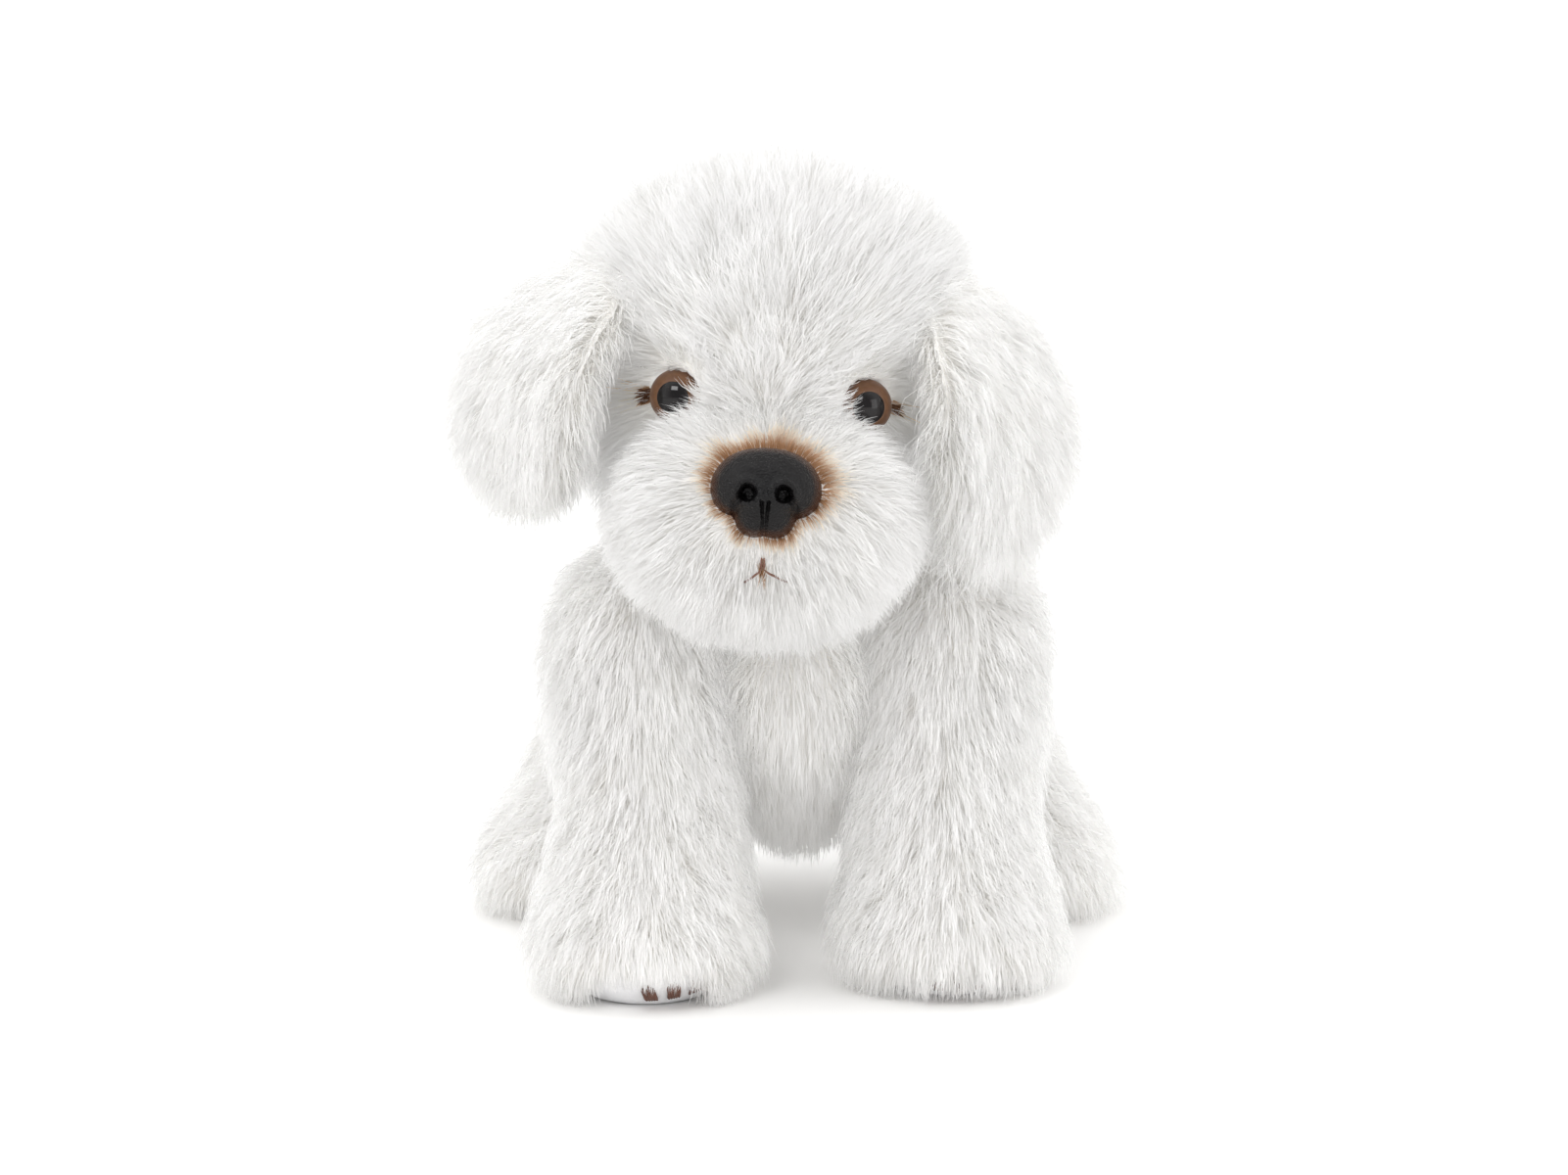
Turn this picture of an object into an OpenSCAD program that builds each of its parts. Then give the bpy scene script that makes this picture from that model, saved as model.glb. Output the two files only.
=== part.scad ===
// Plush puppy standing on four soft legs: sewn pile-fabric skins over fibre
// stuffing, with safety eyes and nose, floppy ears and pellet pouches in the paws.
// The puppy faces -Y, +X is its own left side and the soles stand on z = 0.

/* [Torso] */
// Half width of the torso behind the front legs
torso_half_w = 38; // [34:1:42]
// Height of the torso's middle line above the floor
torso_z = 64; // [62:1:68]
// Height of the torso from its middle line up to the back
back_rise = 32; // [26:1:34]
// Height of the torso from its middle line down to the belly
belly_drop = 34; // [28:1:36]

/* [Head] */
// Half width of the skull
skull_rx = 37; // [34:1:40]
// Half depth of the skull
skull_ry = 32; // [30:1:34]
// Half height of the skull
skull_rz = 38; // [35:1:40]
// Half width of the muzzle
muzzle_rx = 28; // [26:1:31]
// Sideways lean of the head, towards +X
head_roll = 3; // [0:0.5:6]

/* [Face] */
// Diameter of each plastic eye
eye_d = 12; // [10:0.5:13.5]
// Distance between the eye centres
eye_gap = 43; // [40:1:46]
// Width of the plastic nose
nose_w = 24; // [20:0.5:26]
// Diameter of the shanks behind the eyes and nose
shank_d = 4.4; // [4:0.2:5]

/* [Ears] */
// Length of an ear flap from its root to its tip
ear_len = 56; // [50:1:60]
// Half width of an ear flap at its widest
ear_half_w = 21; // [18:1:23]
// Angle between an ear's root line and straight back
ear_root_turn = 35; // [30:1:40]

/* [Legs] */
// Distance from the middle to each front leg's axis
front_leg_x = 33.5; // [33:0.5:36]
// Height of the shoulder joints
shoulder_z = 78; // [75:1:80]
// Radius of the ball at the top of a front leg
shoulder_r = 17; // [16:0.5:17.5]
// Distance from the middle to each hip joint
hip_x = 37; // [35:1:40]
// Radius of the ball at the top of a hind leg
hip_r = 20; // [18:0.5:21]
// How far the right front paw stands ahead of the left one
paw_step = 8; // [0:1:12]

/* [Fabric] */
// Thickness of the pile fabric's backing
skin_t = 1.6; // [1.2:0.1:2.2]
// Free play between separate bodies
play = 0.4; // [0.3:0.05:0.6]
// Gap between the stuffing and its skin
fill_gap = 0.3; // [0.2:0.05:0.5]

/* [Hidden] */
$fn = 48;

centre_shift = [1.13, 9.97, 0];       // brings the box's middle over the origin
segments = 24;                  // sides of each ring of a soft shape
cap_angles = [35, 65];          // rounding steps of a soft shape's ends
fill_t = skin_t + fill_gap;

// Joint centres
shoulder = [front_leg_x, -34, shoulder_z];
hip = [hip_x, 45, 40];
neck = [-7.5, -27, 103];
neck_r = 16;
tail_root = [0, 64, 78];
tail_r = 8;

// Head shapes, measured from the neck joint before the head leans
skull_c = [0, -11, 39];
muzzle_c = [0, -40, 6];

sole_t = 1.5;
sole_gap = 0.3;                 // between a sole's edge and its leg's fabric

// ---------- soft shape tools ----------

// A closed ring of points round c. u and v span it; down is v's length on its far side.
function ring(c, u, v, down, n = segments) = [
    for (i = [0 : n - 1])
        let (a = 360 * i / n, s = sin(a))
            c + u * cos(a) + v * s * (s < 0 ? down / norm(v) : 1)
];

// Rings square to Y: half width rx, up and down from the middle line.
function ring_y(c, rx, up, down, t = 0) =
    ring(c, [rx - t, 0, 0], [0, 0, up - t], down - t);

// Rings square to Z: half width rx, back and front from the middle line.
function ring_z(c, rx, back, front, t = 0) =
    ring(c, [-(rx - t), 0, 0], [0, back - t, 0], front - t);

// Catmull-Rom point between b and c.
function between(a, b, c, d, s) =
    0.5 * ((2 * b) + (c - a) * s + (2 * a - 5 * b + 4 * c - d) * s * s
        + (3 * b - a - 3 * c + d) * s * s * s);

// Smooths a list of rings, with steps rings for each span.
function smooth(rings, steps) = let (last = len(rings) - 1) concat(
    [for (k = [0 : last - 1], j = [0 : steps - 1])
        let (a = rings[max(k - 1, 0)], b = rings[k], c = rings[k + 1], d = rings[min(k + 2, last)])
            [for (i = [0 : len(b) - 1]) between(a[i], b[i], c[i], d[i], j / steps)]],
    [rings[last]]
);

function middle(r) = (r[0] + r[len(r) / 2]) / 2;

// Rings that round off an end, from the end ring outwards along reach.
function cap(r, reach) = let (c = middle(r)) [
    for (a = cap_angles) [for (p = r) c + (p - c) * cos(a) + reach * sin(a)]
];

function reversed(list) = [for (i = [len(list) - 1 : -1 : 0]) list[i]];

// A closed solid through the rings, rounded off by start_reach and end_reach.
module loft(rings, start_reach, end_reach, steps = 2) {
    body = smooth(rings, steps);
    last = body[len(body) - 1];
    all_rings = concat(reversed(cap(body[0], start_reach)), body, cap(last, end_reach));
    n = len(last);
    m = len(all_rings);
    poles = [middle(body[0]) + start_reach, middle(last) + end_reach];
    points = concat([for (r = all_rings, p = r) p], poles);
    sides = [for (k = [0 : m - 2], i = [0 : n - 1])
        let (j = (i + 1) % n)
            each [[k * n + i, k * n + j, (k + 1) * n + j], [k * n + i, (k + 1) * n + j, (k + 1) * n + i]]];
    ends = [for (i = [0 : n - 1])
        let (j = (i + 1) % n)
            each [[m * n, j, i], [m * n + 1, (m - 1) * n + i, (m - 1) * n + j]]];
    polyhedron(points, concat(sides, ends), convexity = 6);
}

// An ellipsoid of the same rings.
module egg(c, rx, ry, rz, t = 0) {
    slices = [-50, -20, 10, 40];
    loft(
        [for (a = slices) ring_y(c + [0, (ry - t) * sin(a), 0],
            (rx - t) * cos(a), (rz - t) * cos(a), (rz - t) * cos(a))],
        [0, -(ry - t) * (1 - sin(50)), 0], [0, (ry - t) * (1 - sin(40)), 0]
    );
}

module for_side(side) mirror([side < 0 ? 1 : 0, 0, 0]) children();

// ---------- torso ----------

module torso_shape(t = 0) {
    w = torso_half_w;
    z = torso_z;
    loft([
        ring_y([0, -46, z + 6], w * 0.3, back_rise * 0.38, belly_drop * 0.6, t),
        ring_y([0, -32, z + 2], w * 0.4, back_rise * 0.84, belly_drop * 0.95, t),
        ring_y([0, -17, z], w * 0.44, back_rise * 1.05, belly_drop, t),
        ring_y([0, -2, z], w * 0.8, back_rise * 1.05, belly_drop, t),
        ring_y([0, 22, z - 1], w, back_rise * 1.02, belly_drop * 0.95, t),
        ring_y([0, 45, z - 2], w * 0.94, back_rise * 0.96, belly_drop * 0.9, t),
        ring_y([0, 60, z - 1], w * 0.64, back_rise * 0.78, belly_drop * 0.66, t)
    ], [0, -7 + t, 0], [0, 12 - t, 0]);
}

// Room that a front leg needs at its shoulder and below it.
module front_leg_room() translate(shoulder) {
    sphere(r = shoulder_r + play, $fn = 64);
    translate([0, 0, -80]) cylinder(r = shoulder_r + play, h = 80, $fn = 64);
}

module joint_rooms() {
    for (side = [-1, 1]) for_side(side) {
        front_leg_room();
        translate(hip) sphere(r = hip_r + play, $fn = 64);
    }
    neck_room();
    tail_room();
}

module neck_room() translate(neck) sphere(r = neck_r + play, $fn = 64);

// Room for the tail's ball, and above it a wider well in which the tail wags.
module tail_room() translate(tail_root) {
    sphere(r = tail_r + play + 0.3, $fn = 64);
    translate([0, 0, -1]) cylinder(r = tail_r + play + 4.4, h = 30, $fn = 64);
}

module torso_skin() color("whitesmoke") difference() {
    torso_shape();
    torso_shape(skin_t);
    joint_rooms();
}

module torso_stuffing() color("white") difference() {
    torso_shape(fill_t);
    joint_rooms();
    belly_pouch_shape(play);
}

module belly_pouch_shape(extra = 0) translate([0, 24, 45])
    rotate_extrude() polygon(round_profile(8 + extra, 14 + extra));

// Half outline of a soft bag: half height h, radius r.
function round_profile(h, r) = concat(
    [[0, -h]], [for (a = [-75 : 15 : 75]) [r * cos(a), h * sin(a)]], [[0, h]]
);

module belly_pellet_pouch() color("ivory") belly_pouch_shape();

// Ladder stitches that close the belly seam by hand.
module belly_closing_stitches() color("snow") {
    first_y = 2;
    pitch = 5;
    for (k = [0 : 5])
        translate([0, first_y + k * pitch, torso_z - belly_drop - 0.8])
            rotate([0, 90, 0]) cylinder(d = 0.9, h = 5, center = true, $fn = 16);
}

// ---------- neck ----------

module neck_stuffing() color("white") translate(neck) sphere(r = neck_r, $fn = 64);

// ---------- head ----------

// Draws in the head's own frame: from the neck joint, before it leans.
module on_head() translate(neck) rotate([0, head_roll, 0]) children();

module skull_shape(t = 0) egg(skull_c, skull_rx, skull_ry, skull_rz, t);

// The muzzle is blunt in front, with a rounded bottom for the chin.
module muzzle_shape(t = 0) {
    c = muzzle_c;
    loft([
        ring_y(c + [0, -17, 0], muzzle_rx * 0.78, 17, 15, t),
        ring_y(c + [0, -8, 0], muzzle_rx * 0.97, 20, 19.5, t),
        ring_y(c + [0, 6, 0], muzzle_rx, 21, 21, t),
        ring_y(c + [0, 20, 0], muzzle_rx * 0.86, 19, 18, t)
    ], [0, -7 + t, 0], [0, 7 - t, 0]);
}

eye_pos = [eye_gap / 2, -36.5, 32]; // the back of an eye's dome, in the head's frame
eye_turn = 18;                      // degrees that an eye looks outwards
eye_tip = 4;                        // degrees that an eye looks up
nose_pos = [0, -61.5, 15];
nose_tip = 14;                      // degrees that the nose looks up

// Draws with +Z along an eye's own axis, outwards.
module at_eye(side) on_head() for_side(side) translate(eye_pos)
    rotate([90 - eye_tip, 0, eye_turn]) children();

module at_nose() on_head() translate(nose_pos) rotate([90 - nose_tip, 0, 0]) children();

shank_len = 11;
washer_r = 6.5;
washer_t = 1.4;

module shank() translate([0, 0, -shank_len]) cylinder(d = shank_d, h = shank_len + 1, $fn = 32);

module washer(at) translate([0, 0, at]) difference() {
    union() {
        cylinder(r = washer_r, h = washer_t);
        cylinder(r = shank_d / 2 + 1.3, h = washer_t + 1.4);
    }
    translate([0, 0, -1]) cylinder(d = shank_d, h = washer_t + 4, $fn = 32);
}

// Room for a shank and its washer inside the stuffing.
module shank_room(depth) translate([0, 0, -depth]) cylinder(r = washer_r + 0.5, h = depth);

module shank_holes() {
    for (side = [-1, 1]) at_eye(side) translate([0, 0, -20]) cylinder(d = shank_d + 0.1, h = 21, $fn = 32);
    at_nose() translate([0, 0, -20]) cylinder(d = shank_d + 0.1, h = 21, $fn = 32);
}

module head_skin() color("whitesmoke") difference() {
    on_head() skull_shape();
    on_head() skull_shape(skin_t);
    neck_room();
    shank_holes();
    for (side = [-1, 1]) at_eye(side) eye_seat();
}

// The dome presses the pile flat, so the skin is cut back to its seat.
module eye_seat() translate([0, 0, -1]) cylinder(r = eye_d / 2 + 0.3, h = 13);

module head_stuffing() color("white") difference() {
    on_head() skull_shape(fill_t);
    neck_room();
    for (side = [-1, 1]) at_eye(side) {
        shank_room(14);
        eye_seat();
    }
}

// The muzzle's skin meets the skull's, so it stops at the skull.
module muzzle_skin() color("whitesmoke") difference() {
    on_head() muzzle_shape();
    on_head() muzzle_shape(skin_t);
    on_head() skull_shape(-0.3);
    neck_room();
    shank_holes();
    for (side = [-1, 1]) at_eye(side) eye_clear();
    at_nose() nose_seat();
}

// Keeps the muzzle off the eyes' faces.
module eye_clear() translate([0, 0, -3]) cylinder(r = eye_d / 2 + 0.6, h = 16);

module nose_seat() translate([0, 0, -0.1]) cylinder(r = nose_w / 2 + 2, h = 14);

module muzzle_stuffing() color("white") difference() {
    on_head() muzzle_shape(fill_t);
    on_head() skull_shape(-0.3);
    neck_room();
    at_nose() shank_room(14);
    at_nose() nose_seat();
    for (side = [-1, 1]) at_eye(side) eye_clear();
}

// ---------- eyes and nose ----------

module eye(side) color("saddlebrown") at_eye(side) {
    dome_h = eye_d * 0.4;
    rotate_extrude($fn = 64) polygon(concat(
        [[0, -0.8], [eye_d / 2 - 0.4, -0.8], [eye_d / 2, 0]],
        [for (a = [10 : 10 : 80]) [eye_d / 2 * cos(a), dome_h * sin(a)]],
        [[0, dome_h]]
    ));
    shank();
}

module eye_washer(side) color("white") at_eye(side) washer(-8);

nose_depth = 7.5;
nose_h = nose_w * 0.82;

// One domed lobe of the nose: half width rx, half height ry, and its depth.
module nose_lobe(x, y, rx, ry, depth) translate([x, y, 0]) difference() {
    scale([rx, ry, depth]) sphere(r = 1, $fn = 64);
    translate([-rx - 1, -ry - 1, -depth - 1]) cube([2 * rx + 2, 2 * ry + 2, depth + 1]);
}

module nostril(side) translate([side * nose_w * 0.16, -nose_h * 0.02, nose_depth * 0.72])
    cylinder(d = nose_w * 0.14, h = nose_depth, $fn = 32);

module nose() color("#1a1615") at_nose() {
    difference() {
        union() {
            nose_lobe(0, nose_h * 0.12, nose_w / 2, nose_h * 0.38, nose_depth);
            for (side = [-1, 1])
                nose_lobe(side * nose_w * 0.13, -nose_h * 0.22, nose_w * 0.19, nose_h * 0.28, nose_depth * 0.86);
        }
        for (side = [-1, 1]) nostril(side);
        translate([-0.4, -nose_h * 0.6, nose_depth * 0.5]) cube([0.8, nose_h * 0.45, nose_depth]);
    }
    translate([0, 0, -shank_len]) cylinder(d = shank_d, h = shank_len, $fn = 32);
}

module nose_washer() color("white") at_nose() washer(-8);

// ---------- mouth ----------

// A straight stitch of thread from a to b, short of both by gap.
module stitch(a, b, d, gap = 0.2) {
    run = b - a;
    along = run / norm(run);
    translate(a + along * gap) rotate([0, acos(along[2]), atan2(along[1], along[0])])
        cylinder(d = d, h = norm(run) - 2 * gap, $fn = 16);
}

// A point just off the muzzle's blunt front, x across and z down from its middle.
function on_muzzle(x, z) = muzzle_c + [
    x, -18.4 - 7 * sqrt(max(0, 1 - pow(x / (muzzle_rx * 0.86), 2) - pow(z / 19, 2))), z
];

module mouth_stitches() color("#4a3530") on_head() {
    stitch(on_muzzle(0, -5.5), on_muzzle(0, -9), 0.9);
    for (side = [-1, 1])
        stitch(on_muzzle(side * 0.8, -9), on_muzzle(side * 8, -13), 0.9);
}

// ---------- ears ----------

ear_root = [35, -16, 55];       // middle of an ear's root line, in the head's frame
ear_layer_t = 1.2;              // half thickness of each of an ear's two layers
layer_offset = ear_layer_t + 0.2;

// The flap's middle line: outwards from the head, and down from the root.
left_path = [[0.05, 0.02], [0.17, 0.12], [0.29, 0.34], [0.33, 0.61], [0.3, 0.83]];
right_path = [[0.05, 0.02], [0.18, 0.1], [0.35, 0.28], [0.42, 0.52], [0.41, 0.73]];
ear_widths = [0.5, 0.8, 1, 0.98, 0.7];

// Draws in an ear's frame: +X outwards from the head, +Y back along the root line.
module at_ear(side) on_head() for_side(side) translate(ear_root)
    rotate([0, 0, -ear_root_turn]) children();

function ear_point(path, k) = [path[k][0] * ear_len, 0, -path[k][1] * ear_len];

function ear_direction(path, k) = let (
    d = ear_point(path, min(k + 1, len(path) - 1)) - ear_point(path, max(k - 1, 0))
) d / norm(d);

// One layer of the flap, moved off the middle line by shift.
module ear_layer(side, shift) {
    path = side < 0 ? right_path : left_path;
    last = len(path) - 1;
    loft([for (k = [0 : last])
        let (d = ear_direction(path, k), out = [-d[2], 0, d[0]])
            ring(ear_point(path, k) + out * shift, [0, ear_half_w * ear_widths[k], 0],
                out * ear_layer_t, ear_layer_t)
    ], -ear_direction(path, 0) * 1.5, ear_direction(path, last) * ear_len * 0.12);
}

module ear_outer(side) color("whitesmoke") at_ear(side) ear_layer(side, layer_offset);

module ear_lining(side) color("white") at_ear(side) ear_layer(side, -layer_offset);

// ---------- legs ----------

// Keeps what is above the slanted line where a leg's fabric meets its sole.
// The line is at z = back_z at y = 0 and climbs by slope towards the toes.
module above_sole_line(c, back_z, slope) translate([c[0], c[1], back_z])
    rotate([-slope, 0, 0]) translate([-40, -60, 0]) cube([80, 120, 140]);

module above_floor(z) translate([-120, -150, z]) cube([240, 300, 150]);

// ---------- front legs ----------

front_line_z = 4;
front_line_slope = 10;          // degrees

function paw_lead(side) = side < 0 ? paw_step : 0;

function front_paw_c(side) = [front_leg_x, shoulder[1] - 16 - paw_lead(side), 0];

module front_leg_shape(side, t = 0) {
    x = front_leg_x;
    y = shoulder[1];
    lead = paw_lead(side);
    loft([
        ring_z([x + 0.5, y - 15 - lead, 3 + t], 17, 15, 17, t),
        ring_z([x + 0.5, y - 16 - lead, 12], 20, 18, 22, t),
        ring_z([x + 0.5, y - 13 - lead * 0.8, 25], 18, 16, 18, t),
        ring_z([x, y - 8 - lead * 0.5, 41], 15.8, 15, 15, t),
        ring_z([x, y - 3 - lead * 0.2, 59], 16, 16, 15.5, t),
        ring_z([x, y, shoulder_z], shoulder_r, shoulder_r, shoulder_r, t)
    ], [0, 0, -5], [0, 0, shoulder_r - t]);
}

// Everything of a front leg, shrunk by t and cut flat where it stands.
module front_leg_solid(side, t = 0) intersection() {
    front_leg_shape(side, t);
    above_floor(t);
}

module front_leg_skin(side) color("whitesmoke") for_side(side) intersection() {
    difference() {
        front_leg_shape(side);
        front_leg_shape(side, skin_t);
    }
    above_sole_line(front_paw_c(side), front_line_z, front_line_slope);
}

module front_sole(side) color("ghostwhite") for_side(side) difference() {
    front_leg_solid(side);
    front_leg_solid(side, sole_t);
    above_sole_line(front_paw_c(side), front_line_z - sole_gap, front_line_slope);
}

module front_leg_stuffing(side) color("white") for_side(side) difference() {
    front_leg_solid(side, fill_t);
    front_pouch_shape(side, play);
}

module front_pouch_shape(side, extra = 0) translate(front_paw_c(side) + [0, 0, 14])
    rotate_extrude() polygon(round_profile(7 + extra, 12 + extra));

module front_pellet_pouch(side) color("ivory") for_side(side) front_pouch_shape(side);

// The claws sit beside the toe's middle, since each paw is turned a little.
function claw_shift(side) = side < 0 ? -6 : 3;

// A point just off the toe's curved face: u across, where the toe reaches forward to
// front and is half_w to each side.
function on_toe(u, front, half_w, z) = [u, -front * sqrt(1 - pow(u / half_w, 2)), z];

// Three short claws sewn on the turned-up toe of the sole.
module claw_stitches(side) color("#5a3327") for_side(side) {
    c = front_paw_c(side);
    for (k = [-1 : 1]) {
        u = claw_shift(side) + 5 * k;
        stitch(c + on_toe(u, 16.5, 17.3, 2.6), c + on_toe(u, 19.9, 19, 6.3), 0.9);
    }
}

// ---------- hind legs ----------

hind_line_z = 3.5;
hind_line_slope = 6;            // degrees
hind_paw_c = [54, 24, 0];

module hind_leg_shape(t = 0) {
    loft([
        ring_z([53.5, 24, 3 + t], 14, 15, 18, t),
        ring_z([54, 24, 11], 17, 18, 22, t),
        ring_z([49, 31, 22], 17, 20, 19, t),
        ring_z([42, 39, 31], 18.5, 20, 19, t),
        ring_z(hip, hip_r, hip_r, hip_r, t)
    ], [0, 0, -5], [0, 0, hip_r - t]);
}

module hind_leg_solid(t = 0) intersection() {
    hind_leg_shape(t);
    above_floor(t);
}

module hind_leg_skin(side) color("whitesmoke") for_side(side) intersection() {
    difference() {
        hind_leg_shape();
        hind_leg_shape(skin_t);
    }
    above_sole_line(hind_paw_c, hind_line_z, hind_line_slope);
}

module hind_sole(side) color("ghostwhite") for_side(side) difference() {
    hind_leg_solid();
    hind_leg_solid(sole_t);
    above_sole_line(hind_paw_c, hind_line_z - sole_gap, hind_line_slope);
}

module hind_leg_stuffing(side) color("white") for_side(side) difference() {
    hind_leg_solid(fill_t);
    hind_pouch_shape(play);
}

module hind_pouch_shape(extra = 0) translate(hind_paw_c + [0, 0, 12])
    rotate_extrude() polygon(round_profile(6 + extra, 10 + extra));

module hind_pellet_pouch(side) color("ivory") for_side(side) hind_pouch_shape();

// ---------- tail ----------

module tail_shape(t = 0) {
    c = tail_root;
    loft([
        ring_z(c, tail_r, tail_r, tail_r, t),
        ring_z(c + [0, 3, 9], 7.5, 7.5, 7.5, t),
        ring_z(c + [0, 5, 18], 7, 7, 7, t),
        ring_z(c + [0, 4, 27], 5, 5, 5, t)
    ], [0, 0, -tail_r + t], [0, -1, 5 - t]);
}

module tail_skin() color("whitesmoke") difference() {
    tail_shape();
    tail_shape(skin_t);
}

module tail_stuffing() color("white") tail_shape(fill_t);

// ---------- nodes ----------

translate(centre_shift) {
    torso_skin();
    torso_stuffing();
    belly_pellet_pouch();
    belly_closing_stitches();
    neck_stuffing();
    head_skin();
    head_stuffing();
    muzzle_skin();
    muzzle_stuffing();
    eye(1);  // eye_left
    eye(-1);  // eye_right
    eye_washer(1);  // eye_washer_left
    eye_washer(-1);  // eye_washer_right
    nose();
    nose_washer();
    mouth_stitches();
    ear_outer(1);  // ear_outer_left
    ear_lining(1);  // ear_lining_left
    ear_outer(-1);  // ear_outer_right
    ear_lining(-1);  // ear_lining_right
    front_leg_skin(1);  // front_leg_skin_left
    front_leg_stuffing(1);  // front_leg_stuffing_left
    front_sole(1);  // front_sole_left
    front_pellet_pouch(1);  // front_pellet_pouch_left
    claw_stitches(1);  // claw_stitches_left
    front_leg_skin(-1);  // front_leg_skin_right
    front_leg_stuffing(-1);  // front_leg_stuffing_right
    front_sole(-1);  // front_sole_right
    front_pellet_pouch(-1);  // front_pellet_pouch_right
    claw_stitches(-1);  // claw_stitches_right
    hind_leg_skin(1);  // hind_leg_skin_left
    hind_leg_stuffing(1);  // hind_leg_stuffing_left
    hind_sole(1);  // hind_sole_left
    hind_pellet_pouch(1);  // hind_pellet_pouch_left
    hind_leg_skin(-1);  // hind_leg_skin_right
    hind_leg_stuffing(-1);  // hind_leg_stuffing_right
    hind_sole(-1);  // hind_sole_right
    hind_pellet_pouch(-1);  // hind_pellet_pouch_right
    tail_skin();
    tail_stuffing();
}
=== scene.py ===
"""Looks of a fluffy white plush puppy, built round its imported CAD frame."""

import math

import bpy
import numpy as np
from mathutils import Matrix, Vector
from mathutils.bvhtree import BVHTree


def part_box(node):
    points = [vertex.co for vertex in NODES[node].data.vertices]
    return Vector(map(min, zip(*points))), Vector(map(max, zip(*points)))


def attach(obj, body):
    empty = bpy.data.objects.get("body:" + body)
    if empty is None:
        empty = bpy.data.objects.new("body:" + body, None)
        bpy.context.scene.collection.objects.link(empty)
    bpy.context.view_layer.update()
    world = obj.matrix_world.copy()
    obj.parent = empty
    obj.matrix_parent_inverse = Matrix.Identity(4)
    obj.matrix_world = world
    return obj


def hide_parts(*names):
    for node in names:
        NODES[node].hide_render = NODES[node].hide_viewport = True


MM = 0.001
SEED = 20
SIDES = ("left", "right")

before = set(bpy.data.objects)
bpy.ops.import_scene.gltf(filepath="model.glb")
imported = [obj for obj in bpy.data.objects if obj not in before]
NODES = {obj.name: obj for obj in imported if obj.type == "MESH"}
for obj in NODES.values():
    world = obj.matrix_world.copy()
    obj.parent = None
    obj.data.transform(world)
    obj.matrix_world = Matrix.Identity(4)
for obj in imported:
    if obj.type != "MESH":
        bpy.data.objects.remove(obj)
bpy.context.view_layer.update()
DOWN = np.array([0.0, 0.0, -1.0])


# ---------- small tools ----------


def unit(v):
    """Vectors scaled to length 1."""
    return v / np.maximum(np.linalg.norm(v, axis=-1, keepdims=True), 1e-9)


def ramp(x, low, high):
    """0 below low, 1 above high, and smooth between them. It also falls when high is below low."""
    t = np.clip((x - low) / (high - low), 0, 1)
    return t * t * (3 - 2 * t)


def coords(mesh):
    co = np.empty(len(mesh.vertices) * 3)
    mesh.vertices.foreach_get("co", co)
    return co.reshape(-1, 3)


def front_of(node, depth):
    """Middle of the part of a node that is within depth of its most forward point."""
    co = coords(NODES[node].data)
    near = co[co[:, 1] < co[:, 1].min() + depth]
    return (near.min(0) + near.max(0)) / 2


def middle(node):
    lo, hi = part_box(node)
    return np.array((lo + hi) / 2)


def link(obj):
    bpy.context.scene.collection.objects.link(obj)
    return obj


def mesh_object(name, verts, faces, smooth=True):
    mesh = bpy.data.meshes.new(name)
    mesh.from_pydata([tuple(v) for v in verts], [], faces)
    mesh.update()
    if smooth:
        mesh.shade_smooth()
    return link(bpy.data.objects.new(name, mesh))


def applied(obj):
    """The same object with its modifiers worked into its mesh."""
    evaluated = obj.evaluated_get(bpy.context.evaluated_depsgraph_get())
    mesh = bpy.data.meshes.new_from_object(evaluated)
    obj.modifiers.clear()
    obj.data = mesh
    return obj


def keep_faces(obj, keep):
    """Drops the faces whose flag in keep is false, and the vertices left over."""
    mesh = obj.data
    faces = [tuple(p.vertices) for p, k in zip(mesh.polygons, keep) if k]
    used = sorted({v for f in faces for v in f})
    place = {v: i for i, v in enumerate(used)}
    new = bpy.data.meshes.new(mesh.name)
    co = coords(mesh)
    new.from_pydata([tuple(co[v]) for v in used], [], [[place[v] for v in f] for f in faces])
    new.update()
    new.shade_smooth()
    obj.data = new
    return obj


def largest_island(obj):
    """Keeps the biggest connected piece of a mesh, by number of vertices."""
    mesh = obj.data
    parent = list(range(len(mesh.vertices)))

    def root(i):
        while parent[i] != i:
            parent[i] = parent[parent[i]]
            i = parent[i]
        return i

    for edge in mesh.edges:
        a, b = (root(v) for v in edge.vertices)
        parent[a] = b
    roots = [root(i) for i in range(len(parent))]
    best = max(set(roots), key=roots.count)
    return keep_faces(obj, [roots[p.vertices[0]] == best for p in mesh.polygons])


# ---------- materials ----------


def new_material(name):
    mat = bpy.data.materials.new(name)
    mat.use_nodes = True
    tree = mat.node_tree
    return mat, tree, tree.nodes["Principled BSDF"]


def add_ramp(tree, factor, stops):
    """A colour ramp fed by factor. stops are (position, (r, g, b))."""
    node = tree.nodes.new("ShaderNodeValToRGB")
    elements = node.color_ramp.elements
    while len(elements) < len(stops):
        elements.new(0.5)
    for element, (position, colour) in zip(elements, stops):
        element.position = position
        element.color = (*colour, 1)
    tree.links.new(factor, node.inputs["Fac"])
    return node.outputs["Color"]


def add_noise(tree, scale, detail=3.0):
    """Noise in object space. scale is in features per metre."""
    where = tree.nodes.new("ShaderNodeTexCoord")
    noise = tree.nodes.new("ShaderNodeTexNoise")
    noise.inputs["Scale"].default_value = scale
    noise.inputs["Detail"].default_value = detail
    tree.links.new(where.outputs["Object"], noise.inputs["Vector"])
    return noise.outputs["Fac"]


def add_bump(tree, shader, height, strength, distance):
    bump = tree.nodes.new("ShaderNodeBump")
    bump.inputs["Strength"].default_value = strength
    bump.inputs["Distance"].default_value = distance
    tree.links.new(height, bump.inputs["Height"])
    tree.links.new(bump.outputs["Normal"], shader.inputs["Normal"])


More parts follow.
